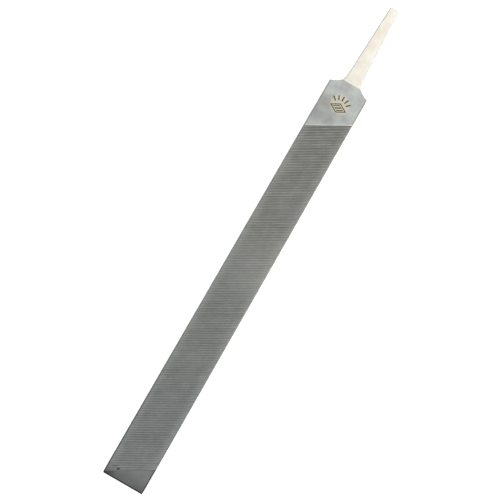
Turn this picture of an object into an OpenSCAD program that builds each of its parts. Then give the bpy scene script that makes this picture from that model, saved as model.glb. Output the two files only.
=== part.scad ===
// Flat file of the blunt pattern: parallel sides, single cut on both faces and both edges,
// and a tapered tang for a push-on handle. Lengths are in millimetres and angles in degrees.
// The file lies on its lower teeth, with the point towards +X and the tang towards -X.

/* [Body] */
// Length from the shoulders at the heel to the point
body_l = 200; // [150:5:300]
// Width over the crests of the edge teeth
body_w = 19.2; // [15:0.1:32]
// Thickness over the crests of the face teeth
body_t = 4; // [3.2:0.1:7]
// Leg of the chamfer along the four long corners
corner_break = 0.25; // [0.1:0.05:0.4]
// Leg of the chamfer around the end of the point
end_break = 0.3; // [0.1:0.05:0.5]

/* [Face cut] */
// Angle between the tooth rows and the length of the file
cut_angle = 60; // [45:1:80]
// Distance from crest to crest, square to the rows
cut_pitch = 0.72; // [0.6:0.02:2]
// Depth of the gullets below the crests
cut_depth = 0.3; // [0.2:0.05:0.5]
// Plain strip left between the end of the point and the first row
point_strip = 0.6; // [0.6:0.1:4]

/* [Edge cut] */
// Angle between the edge rows and the length of the file
edge_angle = 70; // [50:1:90]
// Distance from crest to crest on the edges, square to the rows
edge_pitch = 0.7; // [0.6:0.05:2]
// Depth of the gullets on the edges
edge_depth = 0.25; // [0.15:0.05:0.45]

/* [Tooth form] */
// Lean of the front of a tooth back from upright
rake_lean = 14; // [0:1:25]
// Flat on top of each crest
crest_land = 0.06; // [0.04:0.01:0.15]
// Flat at the bottom of each gullet
gullet_flat = 0.1; // [0.05:0.01:0.15]
// Height that the cut raises the crests above the plain steel
crest_raise = 0.1; // [0.05:0.05:0.15]
// Solid steel between the gullets and the core
web_t = 0.2; // [0.15:0.05:0.4]

/* [Heel] */
// Plain length at the side where the teeth come nearest to the heel
heel_plain = 16; // [10:1:30]
// Length of the scooped shoulders
shoulder_l = 2.8; // [1:0.1:5]
// How far the scoop of a shoulder bows in from a straight line
shoulder_bow = 0.3; // [0.1:0.05:0.6]
// Width of the end of the heel between the shoulders
heel_end_w = 9.2; // [7:0.1:12]

/* [Tang] */
// Length from the heel to the tip
tang_l = 40.8; // [30:0.1:70]
// Step from the end of the heel in to the root of the tang, at each side
tang_step = 0.15; // [0.1:0.05:0.6]
// How far the root flares out at each side
flare_out = 0.6; // [0.3:0.1:1.5]
// Length of the flare
flare_l = 6; // [3:0.5:12]
// Width at the tip
tip_w = 4.2; // [2.5:0.1:5]
// Thickness at the tip
tip_t = 2.1; // [1.4:0.1:2.5]
// Leg of the chamfer along the corners of the tang
tang_break = 0.45; // [0.2:0.05:0.6]

/* [Mark] */
// Plain steel kept between the mark and the ends of the heel
mark_margin_l = 6; // [4:0.1:7]
// Plain steel kept between the mark and the sides
mark_margin_w = 4.5; // [3:0.1:6]
// Depth that the mark is etched below the heel
mark_depth = 0.06; // [0.04:0.01:0.1]
// Thickness of the dark film in the bottom of the mark
mark_film = 0.04; // [0.02:0.01:0.06]

/* [Hidden] */

steel_dark = "#7e817c";
steel_ground = "#b3b7b3";
steel_pale = "#f3eedd";
mark_brown = "#6b5630";

// Places along the length, with the middle of the whole file at 0.
whole_l = body_l + tang_l;
x_point = whole_l / 2;
x_heel = x_point - body_l;

// The plain steel before cutting, and the layer that each cut is made in.
blank_w = body_w - 2 * crest_raise;
blank_t = body_t - 2 * crest_raise;
layer_t = max(cut_depth, edge_depth) + web_t;
core_w = body_w - 2 * layer_t;
core_t = body_t - 2 * layer_t;

// The face rows are counted along u, which runs square to the rows, towards the point.
// The last row ends a strip short of the point, and as many whole rows as fit run back from it.
x_cut_end = x_point - point_strip;
u_end = x_cut_end * sin(cut_angle) - body_w / 2 * cos(cut_angle);
u_room = u_end - (x_heel + heel_plain) * sin(cut_angle) - body_w / 2 * cos(cut_angle);
face_rows = floor(u_room / cut_pitch);
u_start = u_end - face_rows * cut_pitch;
x_cut_start = row_x(u_start, body_w / 2);

// The edge rows run past both ends of the cut and are trimmed there.
edge_run = (x_cut_end - x_cut_start) * sin(edge_angle) + 2 * body_t;
edge_rows = ceil(edge_run / edge_pitch);
edge_u_start = (x_cut_start + x_cut_end) / 2 * sin(edge_angle) - edge_rows * edge_pitch / 2;

// The tang takes its root from the end of the heel.
root_w = heel_end_w - 2 * tang_step;
root_t = blank_t - 2 * tang_step;
flare_steps = 8;

// The mark is centred on the plain length of the heel, and fills the room that its margins leave.
heel_mid_l = row_x(u_start, 0) - x_heel;
mark_size = min(heel_mid_l - 2 * mark_margin_l, blank_w - 2 * mark_margin_w);
mark_line = 0.055;
mark_rays = 5;
mark_bars = 3;

// Depth that the plain skins beside the teeth run into the solid steel that they belong to.
skin_lap = 0.2;

arc_steps = 10;
wide = 2 * body_w;

// X of the row at distance u, where it crosses y.
function row_x(u, y) = (u - y * cos(cut_angle)) / sin(cut_angle);

// Points on a circular arc from p to q that bows to the left of that line by the given rise.
function bow(p, q, rise) =
    let (
        chord = norm(q - p),
        r = (chord * chord / 4 + rise * rise) / (2 * rise),
        half = asin(chord / 2 / r),
        along = (q - p) / chord,
        left = [-along[1], along[0]],
        centre = (p + q) / 2 - left * (r - rise)
    )
    [for (i = [0 : arc_steps])
        let (a = half * (2 * i / arc_steps - 1))
        centre + r * (along * sin(a) + left * cos(a))];

// Corner points of a rectangle w by h, with the corners cut off by a leg c.
function chamfered(w, h, c) =
    let (x = w / 2, y = h / 2)
    [[x - c, -y], [x, c - y], [x, y - c], [x - c, y],
     [c - x, y], [-x, y - c], [-x, c - y], [c - x, -y]];

// Outline of a run of teeth, seen along the rows. The front of each tooth faces +u.
function tooth_outline(rows, pitch, depth) =
    let (
        base = layer_t - depth,
        front = depth * tan(rake_lean),
        back = pitch - front - crest_land - gullet_flat
    )
    concat(
        [for (i = [0 : rows - 1])
            let (u = i * pitch)
            each [[u, base], [u + back, layer_t], [u + back + crest_land, layer_t],
                  [u + pitch - gullet_flat, base]]],
        [[rows * pitch, base], [rows * pitch, 0], [0, 0]]
    );

// Sweeps an outline drawn in (y, z) from x0 to x1.
module along_x(x0, x1)
    translate([x0, 0, 0]) rotate([90, 0, 90]) linear_extrude(x1 - x0) children();

// Raises what is drawn about the middle of the file so that it lies on z = 0.
module on_table() translate([0, 0, body_t / 2]) children();

// Section of one layer: w across and h out at the crests, mitred to the layers beside it.
module layer_section(w, h)
    polygon([[layer_t - w / 2, h - layer_t], [w / 2 - layer_t, h - layer_t], [w / 2, h], [-w / 2, h]]);

// Outer section of the cut part of the body, with its corners broken.
module crest_section(w, t) polygon(chamfered(w, t, corner_break));

// A layer of teeth on the side that faces +Z, trimmed to x0 and x1.
module cut_layer(w, t, angle, pitch, depth, rows, u0, x0, x1)
    intersection() {
        along_x(x0, x1) intersection() {
            layer_section(w, t / 2);
            crest_section(w, t);
        }
        rotate([0, 0, 90 - angle])
            translate([u0, 0, t / 2 - layer_t])
                rotate([90, 0, 0])
                    linear_extrude(2 * whole_l, center = true)
                        polygon(tooth_outline(rows, pitch, depth));
    }

module face_teeth()
    cut_layer(body_w, body_t, cut_angle, cut_pitch, cut_depth, face_rows, u_start,
        row_x(u_start, body_w / 2) - 1, row_x(u_end, -body_w / 2) + 1);

module edge_teeth()
    cut_layer(body_t, body_w, edge_angle, edge_pitch, edge_depth, edge_rows, edge_u_start,
        x_cut_start, x_cut_end);

// The plain steel of the body before cutting, from shoulders to point.
module blank(x0, x1)
    intersection() {
        along_x(x0, x1) polygon(chamfered(blank_w, blank_t, corner_break));
        linear_extrude(2 * body_t, center = true) plan_outline();
        rotate([90, 0, 0]) linear_extrude(wide, center = true) side_outline();
    }

// Outline of the plain steel from above.
module plan_outline() {
    side = blank_w / 2;
    end = heel_end_w / 2;
    polygon(concat(
        [[x_point, end_break - side], [x_point, side - end_break], [x_point - end_break, side]],
        bow([x_heel + shoulder_l, side], [x_heel, end], shoulder_bow),
        bow([x_heel, -end], [x_heel + shoulder_l, -side], shoulder_bow),
        [[x_point - end_break, -side]]
    ));
}

// Outline of the plain steel from the side.
module side_outline() {
    top = blank_t / 2;
    polygon([[x_heel, -top], [x_point - end_break, -top], [x_point, end_break - top],
        [x_point, top - end_break], [x_point - end_break, top], [x_heel, top]]);
}

// Plain skin beside the upper teeth, over the given plan.
module plain_skin(plan, x0, x1)
    intersection() {
        along_x(x0, x1) intersection() {
            layer_section(body_w, body_t / 2);
            polygon(chamfered(blank_w, blank_t, corner_break));
        }
        linear_extrude(body_t) polygon(plan);
    }

// Draws something on the upper face, and again on the lower face, half a turn about the length.
module both_faces() {
    children();
    rotate([180, 0, 0]) children();
}

// The mark on a unit square: a lozenge with slanted bars, under a fan of short rays.
module mark_shape() {
    lozenge = [[0.24, 0], [0, 0.42], [-0.24, 0], [0, -0.42]];
    fan_r = 0.36;
    translate([0.16, 0]) {
        difference() {
            polygon(lozenge);
            scale(1 - 3.4 * mark_line) polygon(lozenge);
        }
        intersection() {
            scale(0.64) polygon(lozenge);
            for (i = [0 : mark_bars - 1])
                rotate(-cut_angle) translate([0, (i - (mark_bars - 1) / 2) * 2.2 * mark_line])
                    square([1, mark_line], center = true);
        }
        for (i = [0 : mark_rays - 1])
            rotate(180 + (i - (mark_rays - 1) / 2) * 24)
                translate([fan_r, -mark_line / 2]) square([0.24, mark_line]);
    }
}

// The mark's strokes, from one height above the middle of the heel to another.
module mark_solid(z0, z1)
    translate([x_heel + heel_mid_l / 2, 0, z0]) linear_extrude(z1 - z0) scale(mark_size) mark_shape();

module body()
    color(steel_dark) on_table()
        along_x(x_cut_start, x_cut_end) square([core_w, core_t], center = true);

module heel()
    color(steel_ground) on_table() {
        side = body_w / 2;
        x_in = x_cut_start - skin_lap;
        skin = [[x_in, -side], [row_x(u_start, -side), -side], [x_cut_start, side], [x_in, side]];
        difference() {
            union() {
                blank(x_heel, x_cut_start);
                both_faces() plain_skin(skin, x_in, row_x(u_start, -side));
            }
            mark_solid(blank_t / 2 - mark_depth - mark_film, body_t);
        }
    }

module point()
    color(steel_dark) on_table() {
        side = body_w / 2;
        x_in = x_cut_end + skin_lap;
        skin = [[x_in, side], [row_x(u_end, side), side], [x_cut_end, -side], [x_in, -side]];
        blank(x_cut_end, x_point);
        both_faces() plain_skin(skin, row_x(u_end, side), x_in);
    }

module upper_teeth() color(steel_dark) on_table() face_teeth();

module lower_teeth() color(steel_dark) on_table() rotate([180, 0, 0]) face_teeth();

module left_edge_teeth() color(steel_dark) on_table() rotate([-90, 0, 0]) edge_teeth();

module right_edge_teeth() color(steel_dark) on_table() rotate([90, 0, 0]) edge_teeth();

module heel_mark()
    color(mark_brown) on_table()
        mark_solid(blank_t / 2 - mark_depth - mark_film, blank_t / 2 - mark_depth);

// Width and thickness of the tang at a distance d from the heel.
function tang_w(d) =
    let (straight = root_w - 2 * flare_out)
    straight + (tip_w - straight) * d / tang_l + 2 * flare_out * pow(max(0, 1 - d / flare_l), 2);
function tang_t(d) = root_t + (tip_t - root_t) * d / tang_l;

// Corner points of the tang's section at d, drawn in by a trim.
function tang_ring(d, trim = 0) =
    [for (p = chamfered(tang_w(d) - 2 * trim, tang_t(d) - 2 * trim, tang_break))
        [x_heel - d, p[0], p[1]]];

module tang()
    color(steel_pale) on_table() {
        rings = concat(
            [for (i = [0 : flare_steps]) tang_ring(flare_l * i / flare_steps)],
            [tang_ring(tang_l - end_break), tang_ring(tang_l, end_break)]
        );
        n = len(rings[0]);
        last = len(rings) - 1;
        polyhedron(
            points = [for (r = rings) each r],
            faces = concat(
                [[for (k = [n - 1 : -1 : 0]) k]],
                [for (i = [0 : last - 1], k = [0 : n - 1])
                    let (a = i * n + k, b = i * n + (k + 1) % n)
                    each [[a, b, b + n], [a, b + n, a + n]]],
                [[for (k = [0 : n - 1]) last * n + k]]
            )
        );
    }

body();
heel();
point();
tang();
upper_teeth();
lower_teeth();
left_edge_teeth();
right_edge_teeth();
heel_mark();
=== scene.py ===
import math
import random

import bmesh
import bpy
import numpy as np
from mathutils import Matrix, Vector


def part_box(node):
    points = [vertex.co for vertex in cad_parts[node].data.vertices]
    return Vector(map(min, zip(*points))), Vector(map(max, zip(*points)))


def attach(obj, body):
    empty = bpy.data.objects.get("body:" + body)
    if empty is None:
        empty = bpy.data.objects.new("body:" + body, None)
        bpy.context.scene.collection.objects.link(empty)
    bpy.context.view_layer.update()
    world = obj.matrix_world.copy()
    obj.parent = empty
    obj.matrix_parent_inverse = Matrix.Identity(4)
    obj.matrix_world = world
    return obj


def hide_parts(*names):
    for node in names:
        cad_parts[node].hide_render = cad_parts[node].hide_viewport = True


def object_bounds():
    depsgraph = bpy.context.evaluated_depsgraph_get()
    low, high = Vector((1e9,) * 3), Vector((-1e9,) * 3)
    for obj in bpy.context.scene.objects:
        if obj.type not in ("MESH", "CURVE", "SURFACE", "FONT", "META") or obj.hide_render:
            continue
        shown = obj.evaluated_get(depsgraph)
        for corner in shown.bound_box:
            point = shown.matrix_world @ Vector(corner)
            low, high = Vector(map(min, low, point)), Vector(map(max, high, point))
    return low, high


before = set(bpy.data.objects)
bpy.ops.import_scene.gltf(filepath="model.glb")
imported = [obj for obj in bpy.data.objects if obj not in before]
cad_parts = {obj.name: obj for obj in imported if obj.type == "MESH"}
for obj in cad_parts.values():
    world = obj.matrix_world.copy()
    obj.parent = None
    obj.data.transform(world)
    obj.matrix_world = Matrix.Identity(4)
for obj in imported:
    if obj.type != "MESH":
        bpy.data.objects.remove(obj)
cadLow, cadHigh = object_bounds()

mm = 0.001
scene = bpy.context.scene

# Places that every piece shares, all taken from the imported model.
midZ = (cadLow.z + cadHigh.z) / 2
halfW = (cadHigh.y - cadLow.y) / 2
halfT = (cadHigh.z - cadLow.z) / 2
pointX = cadHigh.x
tangLow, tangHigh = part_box("tang")
heelX = tangHigh.x
edgeLow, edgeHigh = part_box("left_edge_teeth")
cutStartX, cutEndX = edgeLow.x, edgeHigh.x
print("frame loaded, body", round((pointX - heelX) / mm, 1), "mm long")


def hexColor(code):
    # sRGB hex to the linear colour that the shaders take
    parts = [int(code[i:i + 2], 16) / 255 for i in (1, 3, 5)]
    return tuple(p / 12.92 if p <= 0.04045 else ((p + 0.055) / 1.055) ** 2.4 for p in parts) + (1,)


def addNode(tree, kind, settings=None, inputs=None, stops=()):
    # a socket among the inputs is linked; stops are places and linear colours along a ramp
    node = tree.nodes.new("ShaderNode" + kind)
    for name, value in (settings or {}).items():
        setattr(node, name, value)
    for name, value in (inputs or {}).items():
        if isinstance(value, bpy.types.NodeSocket):
            tree.links.new(value, node.inputs[name])
        else:
            node.inputs[name].default_value = value
    if stops:
        ramp = node.color_ramp.elements
        while len(ramp) < len(stops):
            ramp.new(1.0)
        for element, (at, color) in zip(ramp, stops):
            element.position = at
            element.color = color
    return node


def newMaterial(name):
    material = bpy.data.materials.new(name)
    material.use_nodes = True
    material.node_tree.nodes.clear()
    return material, material.node_tree


def meshObject(name, verts, faces, slots=None, materials=()):
    mesh = bpy.data.meshes.new(name)
    mesh.from_pydata([tuple(v) for v in verts], [], faces)
    for material in materials:
        mesh.materials.append(material)
    if slots is not None:
        mesh.polygons.foreach_set("material_index", slots)
    piece = bpy.data.objects.new(name, mesh)
    scene.collection.objects.link(piece)
    return piece


def cleanUp(piece, weldMm, sharpDeg):
    # welds what coincides, drops what collapsed, turns every face outwards and shades it
    work = bmesh.new()
    work.from_mesh(piece.data)
    bmesh.ops.remove_doubles(work, verts=work.verts, dist=weldMm * mm)
    bmesh.ops.dissolve_degenerate(work, edges=work.edges, dist=weldMm * mm)
    bmesh.ops.recalc_face_normals(work, faces=work.faces)
    work.to_mesh(piece.data)
    work.free()
    piece.data.shade_smooth()
    piece.data.set_sharp_from_angle(angle=math.radians(sharpDeg))


def skin(rings):
    # faces that join each ring of points to the next, with a cap on both ends
    count, size = len(rings), len(rings[0])
    faces = []
    for i in range(count - 1):
        for k in range(size):
            n = (k + 1) % size
            faces.append((i * size + k, i * size + n, (i + 1) * size + n, (i + 1) * size + k))
    faces.append(tuple(range(size - 1, -1, -1)))
    faces.append(tuple((count - 1) * size + k for k in range(size)))
    return faces


cameraSpec = {
    "lensMm": 70,
    "sensorMm": 36,
    "seesM": (0.01, 50),               # nearest and farthest that it sees
    "placeMm": (57.1, -3.6, 420.6),    # above the file, nearer to its point than to its tang
    "turnDeg": (5.92, -3.40, 119.78),  # the last turn stands the file on its point
}
lightSpec = {
    # height in the sky from horizon to top, and how bright it is there: a white sweep,
    # dimmer walls above it and a white ceiling
    "sky": ((0.0, 1.0), (0.1, 1.0), (0.38, 0.58), (0.62, 0.78), (0.85, 1.0)),
    "skyStrength": 1.06,
    "panels": (
        # name, place in mm from the middle of the file, side in mm, watts
        ("keyPanel", (-420, 260, 520), 560, 2.2),
        ("fillPanel", (380, -340, 480), 560, 1.5),
    ),
}
floorSpec = {
    "color": "#fbfbf9",
    "glow": 0.3,       # a lit table, white right up to the file
    "sideMm": 9000,
    "rough": 0.9,
    "shine": 0.1,
}


def makeCamera(spec):
    data = bpy.data.cameras.new("camera")
    data.lens = spec["lensMm"]
    data.sensor_width = spec["sensorMm"]
    data.clip_start, data.clip_end = spec["seesM"]
    camera = bpy.data.objects.new("camera", data)
    scene.collection.objects.link(camera)
    camera.location = [p * mm for p in spec["placeMm"]]
    camera.rotation_euler = [math.radians(a) for a in spec["turnDeg"]]
    scene.camera = camera


def makeLight(spec):
    world = bpy.data.worlds.new("studio")
    scene.world = world
    world.use_nodes = True
    tree = world.node_tree
    tree.nodes.clear()
    height = addNode(tree, "SeparateXYZ", inputs={0: addNode(tree, "TexCoord").outputs["Generated"]})
    level = addNode(tree, "ValToRGB", inputs={"Fac": height.outputs["Z"]},
                    stops=[(at, (bright, bright, bright, 1)) for at, bright in spec["sky"]])
    sky = addNode(tree, "Background", inputs={
        "Color": level.outputs["Color"], "Strength": spec["skyStrength"]})
    addNode(tree, "OutputWorld", inputs={"Surface": sky.outputs[0]})
    for name, place, side, watts in spec["panels"]:
        data = bpy.data.lights.new(name, "AREA")
        data.shape = "SQUARE"
        data.size = side * mm
        data.energy = watts
        panel = bpy.data.objects.new(name, data)
        scene.collection.objects.link(panel)
        panel.location = Vector(place) * mm
        panel.rotation_euler = (-panel.location).to_track_quat("-Z", "Y").to_euler()


def makeFloor(spec):
    # matt white paper on a light table: no shine, and almost no shadow
    side = spec["sideMm"] * mm / 2
    corners = [(-side, -side, 0), (side, -side, 0), (side, side, 0), (-side, side, 0)]
    material, tree = newMaterial("matt white paper")
    shader = addNode(tree, "BsdfPrincipled", inputs={
        "Base Color": hexColor(spec["color"]), "Roughness": spec["rough"],
        "Specular IOR Level": spec["shine"],
        "Emission Color": hexColor(spec["color"]), "Emission Strength": spec["glow"]})
    addNode(tree, "OutputMaterial", inputs={"Surface": shader.outputs[0]})
    floor = meshObject("floor", corners, [(0, 1, 2, 3)], materials=[material])
    floor.location.z = cadLow.z


scene.view_settings.view_transform = "Standard"
makeCamera(cameraSpec)
makeLight(lightSpec)
makeFloor(floorSpec)
print("camera, light and floor made")


markLow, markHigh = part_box("heel_mark")
markSpot = ((markLow.x + markHigh.x) / 2 / mm, (markLow.y + markHigh.y) / 2 / mm, markHigh.z / mm)
endMm, sideMm, topMm = pointX / mm, halfW / mm, cadHigh.z / mm
cutStartMm = cutStartX / mm

# What lies over the finishes: real stains, and painted shade and painted sheen. fromTo is where one starts
# and where it is full, in millimetres: along X or Y of the file, on both sides alike, or by the distance
# from a spot. A tint darkens what is under it and a paint covers it. uneven is how far its border wanders, in
# widths of it.
stainsAndShades = {
    # round the point: darker towards its end, and painted shade on its outline and on the teeth near it
    "darkEnd": {"along": "X", "fromTo": (endMm - 9, endMm), "tint": "#d2d2d2"},
    # painted shade: a dark line along the end of the point and along both its sides
    "endRimShade": {"along": "X", "fromTo": (endMm - 0.8, endMm - 0.45), "tint": "#6c6c6c", "uneven": 0.2},
    "sideRimShade": {"along": "Y", "fromTo": (sideMm - 0.75, sideMm - 0.4), "tint": "#8c8c8c", "uneven": 0.2},
    # painted shade round the corner of the point on the -Y side of its upper face
    "pointCornerShade": {"spotMm": (endMm, -sideMm, topMm), "fromTo": (7, 1.5), "tint": "#c6c4c2"},
    # painted shade: the long corners of the teeth darker towards the point
    "cornerShadeToEnd": {"along": "X", "fromTo": (20, endMm), "tint": "#8a8a8a"},
    # painted shade: the teeth cooler and darker towards the point, as falling light
    "falloffToEnd": {"along": "X", "fromTo": (-20, endMm - 10), "tint": "#e2e6eb"},
    # painted shade along the heel's long edges, and painted sheen on the teeth: lighter towards both long
    # edges and round a spot on the +Y edge
    "heelEdgeShade": {"along": "Y", "fromTo": (sideMm - 1.1, sideMm - 0.2), "tint": "#dadada"},
    "edgeSheen": {"along": "Y", "fromTo": (sideMm - 4.2, sideMm), "paint": "#b6b7b2", "amount": 0.4},
    "sideSheen": {"spotMm": (14, sideMm, topMm), "fromTo": (22, 3), "paint": "#b6b6b0", "amount": 0.25},
    # on the heel: a touch of rust, a dull patch by the first row, and lacquer wiped round the mark
    "brownStain": {"spotMm": (markSpot[0] + 1.5, 2 - sideMm, topMm), "fromTo": (5.5, 2.5), "tint": "#f9f3f0"},
    "dullBorder": {"spotMm": (cutStartMm + 1, -3, topMm), "fromTo": (9.5, 3), "tint": "#e8e7e7"},
    "wipedHalo": {"spotMm": markSpot, "fromTo": (5.2, 3.6), "paint": "#a9a592", "amount": 0.7},
}

# What each surface looks like. dark and light are its clouds, cloudMm wide. grainMm is how long,
# wide and high the marks of the work are, along X, Y and Z. Lines from a wheel's grit are about
# 0.1 mm wide, too fine to show, so the ground surfaces have them at nearly 0.3 mm.
finishes = {
    # ground on a wheel along its length: even satin grey with a soft cloud in it
    "groundSteel": {
        "dark": "#8c8e8d", "light": "#9b9e9a", "cloudMm": 5.5, "grainMm": (9.0, 0.28, 0.28),
        "grainTone": 0.04, "rough": 0.42, "roughSpread": 0.06, "bump": 0.25, "bumpMm": 0.03,
        "stainsAndShades": ("heelEdgeShade", "brownStain", "dullBorder", "wipedHalo")},
    # the heel's corners, broken on the wheel, with painted shade: a plain darker line round the grey
    "heelCornerShade": {
        "dark": "#767a76", "light": "#858784", "cloudMm": 2.5, "grainMm": (5.0, 0.3, 0.3),
        "grainTone": 0.06, "rough": 0.46, "roughSpread": 0.06, "bump": 0.25, "bumpMm": 0.03},
    # the lip that the first chisel stroke throws up, painted lighter as a highlight along it
    "burrHighlight": {
        "dark": "#a9ada8", "light": "#bdc1bc", "cloudMm": 1.5, "grainMm": (0.5, 0.5, 0.5),
        "grainTone": 0.06, "rough": 0.36, "roughSpread": 0.05, "bump": 0.2, "bumpMm": 0.02},
    # cut with a chisel, whose drag leaves lines of 0.1 mm along the rows, and hardened in a bath: dull dark
    # grey, a little uneven, with painted shade cooler and darker towards the point and painted sheen towards
    # the long edges
    "chiselCutSteel": {
        "dark": "#7d7e79", "light": "#878884", "cloudMm": 7.0, "grainMm": (0.12, 0.7, 0.12),
        "grainTurn": -30, "grainTone": 0.07, "rough": 0.48, "roughSpread": 0.07, "bump": 0.3,
        "bumpMm": 0.02, "stainsAndShades": ("edgeSheen", "sideSheen", "falloffToEnd", "pointCornerShade")},
    # the tops of the teeth, rubbed and with a painted highlight: lighter than the gullets
    "crestWearAndHighlight": {
        "dark": "#a5a6a2", "light": "#b8b9b3", "cloudMm": 3.0, "grainMm": (0.3, 0.9, 0.3),
        "grainTurn": -30, "grainTone": 0.10, "rough": 0.38, "roughSpread": 0.06, "bump": 0.2,
        "bumpMm": 0.02, "stainsAndShades": ("edgeSheen", "sideSheen", "falloffToEnd", "pointCornerShade")},
    # painted shade in the long corners of the teeth: a thin darker outline
    "toothCornerShade": {
        "dark": "#858784", "light": "#999d97", "cloudMm": 3.0, "grainMm": (0.7, 0.4, 0.4),
        "grainTone": 0.15, "rough": 0.52, "roughSpread": 0.08, "bump": 0.3, "bumpMm": 0.03,
        "stainsAndShades": ("cornerShadeToEnd",)},
    # scale from the quench, in flakes under a millimetre wide, in the scar in the rows; on the point's broken
    # corners it is painted shade, a dark outline
    "scarScaleAndRimShade": {
        "dark": "#353635", "light": "#424341", "cloudMm": 3.0, "grainMm": (0.8, 0.4, 0.4),
        "grainTone": 0.15, "rough": 0.55, "roughSpread": 0.08, "bump": 0.3, "bumpMm": 0.03},
    # the plain end, hardened with the teeth and never ground again: dark, dull and without lines, with
    # painted shade along its outline and at its corner
    "plainHardSteel": {
        "dark": "#6a6c6b", "light": "#757776", "cloudMm": 5.0, "grainMm": (0.6, 0.6, 0.6),
        "grainTone": 0.07, "rough": 0.45, "roughSpread": 0.06, "bump": 0.25, "bumpMm": 0.02,
        "stainsAndShades": ("darkEnd", "pointCornerShade", "endRimShade", "sideRimShade")},
    # the end face, cropped and ground square before hardening: a dull mid grey
    "squareEnd": {
        "dark": "#6b6d6a", "light": "#7a7c79", "cloudMm": 3.0, "grainMm": (0.4, 4.0, 0.25),
        "grainTone": 0.08, "rough": 0.48, "roughSpread": 0.06, "bump": 0.25, "bumpMm": 0.02},
    # softened after hardening and ground clean: almost white, with a warm cast
    "annealedTang": {
        "dark": "#beb8ad", "light": "#c4c2b7", "cloudMm": 6.5, "grainMm": (7.0, 0.3, 0.3),
        "grainTone": 0.02, "rough": 0.46, "roughSpread": 0.06, "bump": 0.2, "bumpMm": 0.03},
    # the corners of the tang, knocked off on the wheel, with painted shade: plain grey
    "tangCornerShade": {
        "dark": "#b0b0aa", "light": "#bebeb7", "cloudMm": 2.5, "grainMm": (4.0, 0.3, 0.3),
        "grainTone": 0.05, "rough": 0.42, "roughSpread": 0.06, "bump": 0.25, "bumpMm": 0.03},
    # lacquer left in the etched mark, a film so thin that the steel shines through it: a brown
    # metal with gold in it
    "markLacquer": {
        "dark": "#2c2312", "light": "#4c3f24", "cloudMm": 0.8, "grainMm": (0.3, 0.3, 0.3),
        "grainTone": 0.2, "rough": 0.4, "roughSpread": 0.08, "bump": 0.3, "bumpMm": 0.02},
    # the steel between the cuts, which nothing shows
    "innerSteel": {
        "dark": "#6f716e", "light": "#7a7c79", "cloudMm": 5.0, "grainMm": (6.0, 0.4, 0.4),
        "grainTone": 0.05, "rough": 0.5, "roughSpread": 0.05, "bump": 0.1, "bumpMm": 0.02},
}
noiseRough = 0.55          # how strong the finer lumps of a noise are
cloudEnds = (0.36, 0.64)   # where in the noise a cloud is all dark and all light
grainEnds = (0.3, 0.7)     # the same for the grain


def lumpy(tree, place, sizeMm, detail=3.0, turn=0.0):
    # noise whose lumps are about sizeMm long, wide and high, as a factor round 0.5
    at = addNode(tree, "Mapping", inputs={
        "Vector": place, "Rotation": (0, 0, turn), "Scale": [1 / (size * mm) for size in sizeMm]})
    return addNode(tree, "TexNoise", inputs={
        "Vector": at.outputs[0], "Scale": 1.0, "Detail": detail, "Roughness": noiseRough}).outputs["Fac"]


def overlayAmount(tree, place, overlay, uneven):
    # how strongly an overlay shows, stain and painted shade alike: along a line of the file, or round a spot
    # on it
    if "spotMm" in overlay:
        spot = [value * mm for value in overlay["spotMm"]]
        far = addNode(tree, "VectorMath", {"operation": "DISTANCE"}, {0: place, 1: spot}).outputs["Value"]
    else:
        far = addNode(tree, "SeparateXYZ", inputs={0: place}).outputs["XYZ".index(overlay["along"])]
        if overlay["along"] == "Y":
            far = addNode(tree, "Math", {"operation": "ABSOLUTE"}, {0: far}).outputs[0]
    none, full = [value * mm for value in overlay["fromTo"]]
    blur = abs(full - none) * overlay.get("uneven", 0.5)
    shaken = addNode(tree, "Math", {"operation": "MULTIPLY_ADD"}, {0: uneven, 1: blur, 2: far})
    return addNode(tree, "MapRange", {"interpolation_type": "SMOOTHSTEP"}, {
        "Value": shaken.outputs[0], "From Min": none + blur / 2, "From Max": full + blur / 2,
        "To Min": 0.0, "To Max": overlay.get("amount", 1.0)}).outputs["Result"]


def steelMaterial(name, look):
    # Steel: metallic 1 and the default IOR. Clouds show how evenly it was worked, a fine grain
    # shows which way the wheel or the chisel ran, and stains, painted shade and painted sheen lie over both.
    material, tree = newMaterial(name)
    place = addNode(tree, "TexCoord").outputs["Object"]
    clouds = lumpy(tree, place, (look["cloudMm"],) * 3)
    grain = lumpy(tree, place, look["grainMm"], 2.0, math.radians(look.get("grainTurn", 0)))
    color = addNode(tree, "ValToRGB", inputs={"Fac": clouds}, stops=[
        (cloudEnds[0], hexColor(look["dark"])), (cloudEnds[1], hexColor(look["light"]))]).outputs["Color"]
    for overlay in (stainsAndShades[key] for key in look.get("stainsAndShades", ())):
        amount = overlayAmount(tree, place, overlay, clouds)
        way = "MIX" if "paint" in overlay else "MULTIPLY"
        color = addNode(tree, "Mix", {"data_type": "RGBA", "blend_type": way}, {
            0: amount, 6: color, 7: hexColor(overlay.get("paint") or overlay["tint"])}).outputs[2]
    lined, rough = [addNode(tree, "MapRange", inputs={
        "Value": grain, "From Min": grainEnds[0], "From Max": grainEnds[1],
        "To Min": middle - spread, "To Max": middle + spread}).outputs["Result"]
        for middle, spread in ((1, look["grainTone"]), (look["rough"], look["roughSpread"]))]
    color = addNode(tree, "VectorMath", {"operation": "SCALE"}, {0: color, "Scale": lined})
    bump = addNode(tree, "Bump", inputs={
        "Height": grain, "Strength": look["bump"], "Distance": look["bumpMm"] * mm})
    shader = addNode(tree, "BsdfPrincipled", inputs={
        "Base Color": color.outputs["Vector"], "Metallic": 1.0,
        "Roughness": rough, "Normal": bump.outputs["Normal"]})
    addNode(tree, "OutputMaterial", inputs={"Surface": shader.outputs[0]})
    return material


made = {name: steelMaterial(name, look) for name, look in finishes.items()}
print(len(made), "finishes made")


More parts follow.
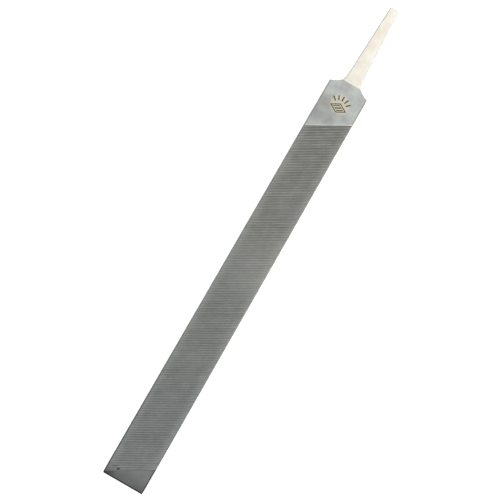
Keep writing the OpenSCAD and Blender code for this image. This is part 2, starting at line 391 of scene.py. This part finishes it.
# Each side of the body is cut in turn. Going round upper, left, lower, right, the high end of
# one side meets the low end of the next, so one rule shapes all four corners.
toothForm = {
    # share of the pitch, share of the depth: a bowed back, a burred crest and a steep front
    "outline": ((0.0, 0.0), (0.07, 0.01), (0.2, 0.17), (0.4, 0.49), (0.58, 0.79), (0.7, 0.96),
                (0.76, 1.0), (0.81, 0.96), (0.85, 0.55), (0.91, 0.1)),
    "crestStrips": (4, 5, 6),   # strips of the outline that are rubbed and painted lighter as a highlight
    "lowestRow": 0.93,          # height of the lowest row, as a share of the highest
    "wanderShare": 0.6,         # how much of a row's waver changes along it
    "waves": ((0.55, 0.4), (1.7, 0.3), (3.1, 0.2), (5.3, 0.1)),  # radians per mm, and height
    "cornerMm": 0.25,           # leg of the softened corner between two sides
    "cornerFall": 0.3,          # share of that leg by which the corner's second step falls
    "spareMm": 0.05,            # room between the surface and that corner
    "besideMm": 0.3,            # where the next side's depth is read, in from its edge
    "layerMm": 0.5,             # depth of the layer, down to the steel inside
    "plainMm": 0.1,             # how far plain steel lies below the crests
    "burrMm": (0.5, 0.28, 0.1),
    "burrLiftMm": (0.0, 0.05, 0.085),
    "burrWaverMm": 0.012,
    "weldMm": 0.0008,
    "sharpDeg": 32,
}
# across is the number of places across a row where its surface is set, half is half the side's
# width, and out is how far its crests lie from the middle of the file
faceCut = {
    "angle": 60, "pitch": 0.72 * mm, "depth": 0.3 * mm, "across": 36,
    "half": halfW, "out": halfT, "crestWaverMm": 0.018, "rowWaverMm": 0.02,
}
edgeCut = {
    "angle": 70, "pitch": 0.7 * mm, "depth": 0.25 * mm, "across": 8,
    "half": halfT, "out": halfW, "crestWaverMm": 0.015, "rowWaverMm": 0.015,
}
sides = (
    # piece, node, cut, across and out as (y, z), random seed
    ("upperTeeth", "upper_teeth", faceCut, (1, 0), (0, 1), 11),
    ("leftEdgeTeeth", "left_edge_teeth", edgeCut, (0, -1), (1, 0), 23),
    ("lowerTeeth", "lower_teeth", faceCut, (-1, 0), (0, -1), 37),
    ("rightEdgeTeeth", "right_edge_teeth", edgeCut, (0, 1), (-1, 0), 41),
)
sideFinishes = ("chiselCutSteel", "crestWearAndHighlight", "toothCornerShade", "burrHighlight", "scarScaleAndRimShade")


def planSide(name, node, cut, across, out, seed):
    # adds to a cut what is this side's own: where its rows lie and how they waver
    side = dict(cut, name=name, node=node, acrossAxis=across, outAxis=out)
    angle = math.radians(cut["angle"])
    side["sin"], side["cos"] = math.sin(angle), math.cos(angle)
    if cut is faceCut:
        side["start"] = cutStartX * side["sin"] + halfW * side["cos"]
        end = cutEndX * side["sin"] - halfW * side["cos"]
        side["rows"] = round((end - side["start"]) / cut["pitch"])
        side["pitch"] = (end - side["start"]) / side["rows"]
    else:
        reach = (cutEndX - cutStartX) * side["sin"] + 4 * halfT   # past both ends, to be trimmed
        side["rows"] = math.ceil(reach / cut["pitch"])
        middle = (cutStartX + cutEndX) / 2 * side["sin"]
        side["start"] = middle - side["rows"] * cut["pitch"] / 2
    pick = random.Random(seed)
    rows = range(side["rows"])
    side["heightShare"] = np.array([pick.uniform(toothForm["lowestRow"], 1.0) for _ in rows])
    side["shift"] = np.array([pick.uniform(-1, 1) for _ in rows]) * cut["rowWaverMm"]
    side["lean"] = np.array([pick.uniform(-1, 1) for _ in rows]) * cut["rowWaverMm"]
    side["phase"] = np.array([[pick.uniform(0, 2 * math.pi) for _ in toothForm["waves"]] for _ in rows])
    return side


def crestWave(side, row, across):
    # a slow wander along each row, from -1 to 1
    phase = side["phase"][row]
    waves = enumerate(toothForm["waves"])
    return sum(np.sin(across / mm * turn + phase[..., i]) * high for i, (turn, high) in waves)


def cutDepthAt(side, x, across):
    # how far below the crests a side's surface lies at (x, across)
    spot = ((x * side["sin"] + across * side["cos"]) - side["start"]) / side["pitch"]
    row = np.clip(np.floor(spot).astype(int), 0, side["rows"] - 1)
    shares, heights = zip(*toothForm["outline"] + ((1.0, 0.0),))
    rise = np.interp(spot - row, shares, heights) * side["heightShare"][row]
    depth = side["depth"] * (1 - rise)
    isCut = (spot >= 0) & (spot <= side["rows"]) & (x >= cutStartX) & (x <= cutEndX)
    return np.where(isCut, depth, toothForm["plainMm"] * mm)


def stationsOf(side):
    # every line of the cut: its place along the file, height, row and strip, or for the lip
    # before the first row, strip -1 and a depth of its own
    found = []
    if side["half"] == halfW:
        for back, lift in zip(toothForm["burrMm"], toothForm["burrLiftMm"]):
            found.append((side["start"] - back * mm, None, 0, -1, (toothForm["plainMm"] - lift) * mm))
    for row in range(side["rows"]):
        for strip, (share, height) in enumerate(toothForm["outline"]):
            found.append((side["start"] + (row + share) * side["pitch"], height, row, strip, None))
    found.append((side["start"] + side["rows"] * side["pitch"], 0.0, side["rows"] - 1, 0, None))
    return found


def cutPoints(side, station, across):
    # one line of the surface: x and depth at every place across
    u, height, row, strip, ownDepth = station
    wander = crestWave(side, np.full(len(across), row), across)
    if ownDepth is not None:
        lifted = ownDepth < toothForm["plainMm"] * mm
        depth = ownDepth + (toothForm["burrWaverMm"] * mm) * wander * lifted
        return (u - across * side["cos"]) / side["sin"], depth
    rise = height * side["heightShare"][row]
    worn = 0.5 * (1 + wander) * side["crestWaverMm"] * mm * height
    depth = side["depth"] * (1 - rise) + worn
    sway = (side["shift"][row] + side["lean"][row] * across / side["half"]) * height * mm
    sway = sway + wander * side["rowWaverMm"] * toothForm["wanderShare"] * height * mm
    return (u + sway - across * side["cos"]) / side["sin"], depth


def ringOf(side, station, grid, neighbours):
    # a closed line round the layer: over its surface, down one corner, below it and up the other
    corner, layer = toothForm["cornerMm"] * mm, toothForm["layerMm"] * mm
    fall = toothForm["cornerFall"] * corner
    slant = -side["cos"] / side["sin"]
    tails = []
    for sign, neighbour in zip((-1, 1), neighbours):
        rim = sign * side["half"]
        x, depth = cutPoints(side, station, np.array([rim]))
        inside = np.clip(x, cutStartX, cutEndX)
        if side["half"] == halfW:
            x = inside
        readAt = np.array([-sign * (neighbour["half"] - toothForm["besideMm"] * mm)])
        brim = side["half"] - cutDepthAt(neighbour, inside, readAt)[0]
        steps = [(sign * (brim - corner), side["out"] - depth[0]),
                 (sign * (brim - fall), side["out"] - depth[0] - fall),
                 (sign * (side["half"] - layer), side["out"] - layer)]
        tails.append([(x[0] + slant * (a - rim), a, h) for a, h in steps])
    x, depth = cutPoints(side, station, grid)
    line = [(xx, a, side["out"] - d) for xx, a, d in zip(x, grid, depth)]
    return line + tails[1] + tails[0][::-1]


# Some strokes by the point went in too deep and kept their scale: a dark scar in the rows.
scarSpec = {
    "piece": "upperTeeth",
    # rows from the last one, from and to across the file in mm, strips of the outline that it fills
    "strokes": ((1, -5.4, -4.1, (0, 1, 2, 3)), (2, -5.5, -4.0, (7, 8, 9)), (2, -5.2, -4.3, (4, 5, 6)),
                (3, -7.4, -5.4, (0, 1, 8, 9))),
}


def isScarred(side, row, strip, at):
    if side["name"] != scarSpec["piece"]:
        return False
    for fromEnd, low, high, strips in scarSpec["strokes"]:
        if row == side["rows"] - fromEnd and strip in strips and low * mm < at[1] < high * mm:
            return True
    return False


def trimEnds(piece):
    # cuts slanted rows off square where the cut starts and ends, and closes both ends
    work = bmesh.new()
    work.from_mesh(piece.data)
    for x, outwards in ((cutStartX, -1), (cutEndX, 1)):
        everything = work.verts[:] + work.edges[:] + work.faces[:]
        cut = bmesh.ops.bisect_plane(work, geom=everything, dist=0.0001 * mm, plane_co=(x, 0, 0),
                                     plane_no=(outwards, 0, 0), clear_outer=True)
        rim = [part for part in cut["geom_cut"] if isinstance(part, bmesh.types.BMEdge)]
        bmesh.ops.edgenet_fill(work, edges=rim)
    work.to_mesh(piece.data)
    work.free()


def buildSide(side, neighbours):
    inset = max(faceCut["depth"], edgeCut["depth"]) + (toothForm["cornerMm"] + toothForm["spareMm"]) * mm
    grid = np.linspace(-side["half"] + inset, side["half"] - inset, side["across"] + 1)
    stations = stationsOf(side)
    rings = [ringOf(side, station, grid, neighbours) for station in stations]
    (acrossY, acrossZ), (outY, outZ) = side["acrossAxis"], side["outAxis"]
    verts = [(x, a * acrossY + h * outY, a * acrossZ + h * outZ + midZ) for ring in rings for x, a, h in ring]
    kinds = []
    for ring, station in zip(rings[:-1], stations):
        row, strip = station[2:4]
        for k, at in enumerate(ring):
            if isScarred(side, row, strip, at):
                kinds.append("scarScaleAndRimShade")
            # the points round the corners take the painted shade of the outline
            elif k >= len(grid):
                kinds.append("toothCornerShade")
            # the lip before the first row takes the painted highlight
            elif strip == -1:
                kinds.append("burrHighlight")
            else:
                kinds.append("crestWearAndHighlight" if strip in toothForm["crestStrips"] else "chiselCutSteel")
    kinds += ["chiselCutSteel"] * 2   # the two caps
    slots = [sideFinishes.index(kind) for kind in kinds]
    piece = meshObject(side["name"], verts, skin(rings), slots, [made[name] for name in sideFinishes])
    if side["half"] != halfW:
        trimEnds(piece)
    cleanUp(piece, toothForm["weldMm"], toothForm["sharpDeg"])
    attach(piece, "root")
    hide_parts(side["node"])
    return piece


planned = [planSide(*row) for row in sides]
for i, side in enumerate(planned):
    piece = buildSide(side, (planned[i - 1], planned[(i + 1) % len(planned)]))
    print(side["name"], side["rows"], "rows,", len(piece.data.polygons), "faces")


heelSpec = {
    "name": "heelBlock",
    "softMm": 0.18,          # how much of each hard corner is taken off
    "finishes": ("groundSteel", "heelCornerShade"),
}
pointSpec = {
    "name": "pointBlock",
    "softMm": 0.14,
    "finishes": ("plainHardSteel", "scarScaleAndRimShade", "squareEnd"),
}
softRule = {
    "steps": 2,
    "profile": 0.6,
    "hardDeg": 25,           # only corners sharper than this are softened
    "flatDeg": 1,            # faces flatter than this to each other become one
    "weldMm": 0.002,
    "mergeMm": 0.001,
    "shadeDeg": 40,
    "spareMm": 0.05,         # how far below a tooth layer still counts as outside
    "frontMm": 0.1,          # and how far in from the heel's end face
    # edges shorter than this, and this far in from the sides, belong to the mark and stay sharp
    "markEdgeMm": 0.9,
    "markInMm": 4,
}


def softCopy(spec, node, slotRule):
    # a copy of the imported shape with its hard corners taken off
    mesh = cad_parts[node].data.copy()
    mesh.name = spec["name"]
    piece = bpy.data.objects.new(spec["name"], mesh)
    scene.collection.objects.link(piece)
    mesh.materials.clear()
    for name in spec["finishes"]:
        mesh.materials.append(made[name])
    work = bmesh.new()
    work.from_mesh(mesh)
    bmesh.ops.remove_doubles(work, verts=work.verts, dist=softRule["weldMm"] * mm)
    bmesh.ops.dissolve_limit(work, angle_limit=math.radians(softRule["flatDeg"]),
                             verts=work.verts, edges=work.edges)
    inner = (toothForm["layerMm"] + softRule["spareMm"]) * mm
    hard = []
    for edge in work.edges:
        if len(edge.link_faces) != 2 or edge.calc_face_angle(0) < math.radians(softRule["hardDeg"]):
            continue
        outside = all(
            abs(v.co.y) > halfW - inner or abs(v.co.z - midZ) > halfT - inner or v.co.x > pointX - inner
            or v.co.x < heelX + softRule["frontMm"] * mm for v in edge.verts)
        inMark = (edge.calc_length() < softRule["markEdgeMm"] * mm
                  and abs(edge.verts[0].co.y) < halfW - softRule["markInMm"] * mm)
        if outside and not inMark:
            hard.append(edge)
    bmesh.ops.bevel(work, geom=hard, offset=spec["softMm"] * mm, segments=softRule["steps"],
                    profile=softRule["profile"], affect="EDGES", clamp_overlap=True)
    bmesh.ops.remove_doubles(work, verts=work.verts, dist=softRule["mergeMm"] * mm)
    bmesh.ops.dissolve_degenerate(work, edges=work.edges, dist=softRule["mergeMm"] * mm)
    bmesh.ops.recalc_face_normals(work, faces=work.faces)
    for face in work.faces:
        face.material_index = slotRule(face)
        face.smooth = True
    work.to_mesh(mesh)
    work.free()
    piece.modifiers.new("evenShading", "WEIGHTED_NORMAL").keep_sharp = True
    mesh.set_sharp_from_angle(angle=math.radians(softRule["shadeDeg"]))
    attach(piece, "root")
    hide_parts(node)
    return piece


def cornerSlot(face):
    # 0 for the flats, 1 for what was broken off between them, which carries painted shade
    flat = abs(face.normal.z) > 0.98 or abs(face.normal.z) < 0.05
    return 0 if flat else 1


def pointSlot(face):
    # as cornerSlot, with 2 for the end face
    return 2 if face.normal.x > 0.9 else cornerSlot(face)


heel = softCopy(heelSpec, "heel", cornerSlot)
point = softCopy(pointSpec, "point", pointSlot)
print("heel and point made")


tangSpec = {
    "stepMm": 0.8,          # distance from ring to ring
    "flareMm": 6.0,
    "flareOutMm": 0.6,
    "tipWMm": 4.2,
    "tipTMm": 2.1,
    "breakMm": 0.45,
    "cornerSteps": 3,
    "endMm": ((0.2, 0.03), (0.0, 0.18)),   # the rounded tip: how far from it, and how much comes off
    "hammerMm": 0.035,      # how uneven the forging left it
    "hammerWaves": ((0.9, 0), (0.7, 2)),   # radians per mm and phase, for the width and thickness
    "calmMm": (3, 2),       # over what length that fades, at the heel and at the tip
    "weldMm": 0.0008,
    "sharpDeg": 50,
}


def tangRing(spec, d, trim):
    # the outline of the tang at d from the heel
    rootW, rootT = tangHigh.y - tangLow.y, tangHigh.z - tangLow.z
    length = tangHigh.x - tangLow.x
    share = d / length
    straight = rootW - 2 * spec["flareOutMm"] * mm
    flare = max(0.0, 1 - d / (spec["flareMm"] * mm)) ** 2
    w = straight + (spec["tipWMm"] * mm - straight) * share + 2 * spec["flareOutMm"] * mm * flare
    t = rootT + (spec["tipTMm"] * mm - rootT) * share
    calmHeel, calmTip = [value * mm for value in spec["calmMm"]]
    waver = spec["hammerMm"] * mm * min(1.0, d / calmHeel, (length - d) / calmTip)
    (turnW, phaseW), (turnT, phaseT) = spec["hammerWaves"]
    w -= 2 * trim + waver * (1 + math.sin(d / mm * turnW + phaseW))
    t -= 2 * trim + waver * (1 + math.sin(d / mm * turnT + phaseT))
    r = spec["breakMm"] * mm
    points = []
    for sy, sz, first in ((1, 1, 0), (-1, 1, 90), (-1, -1, 180), (1, -1, 270)):
        for k in range(spec["cornerSteps"] + 1):
            turn = math.radians(first + 90 * k / spec["cornerSteps"])
            y = sy * (w / 2 - r) + r * math.cos(turn)
            z = sz * (t / 2 - r) + r * math.sin(turn)
            points.append((heelX - d, y, z + midZ))
    return points


def buildTang(spec):
    length = tangHigh.x - tangLow.x
    count = round(length / (spec["stepMm"] * mm))
    rings = [tangRing(spec, length * i / count, 0) for i in range(count)]
    rings += [tangRing(spec, length - back * mm, trim * mm) for back, trim in spec["endMm"]]
    perCorner = spec["cornerSteps"] + 1
    # the faces round the corners take slot 1, with the painted shade
    aroundSlots = [1 if k % perCorner < spec["cornerSteps"] else 0 for k in range(len(rings[0]))]
    slots = aroundSlots * (len(rings) - 1) + [0, 1]
    verts = [p for ring in rings for p in ring]
    materials = [made["annealedTang"], made["tangCornerShade"]]
    piece = meshObject("tangSpike", verts, skin(rings), slots, materials)
    cleanUp(piece, spec["weldMm"], spec["sharpDeg"])
    piece.modifiers.new("evenShading", "WEIGHTED_NORMAL").keep_sharp = True
    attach(piece, "root")
    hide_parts("tang")


buildTang(tangSpec)
print("tang made")

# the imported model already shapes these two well, so they only get their finish
for node, finish in (("body", "innerSteel"), ("heel_mark", "markLacquer")):
    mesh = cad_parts[node].data
    mesh.materials.clear()
    mesh.materials.append(made[finish])
print("mark and inner steel finished")
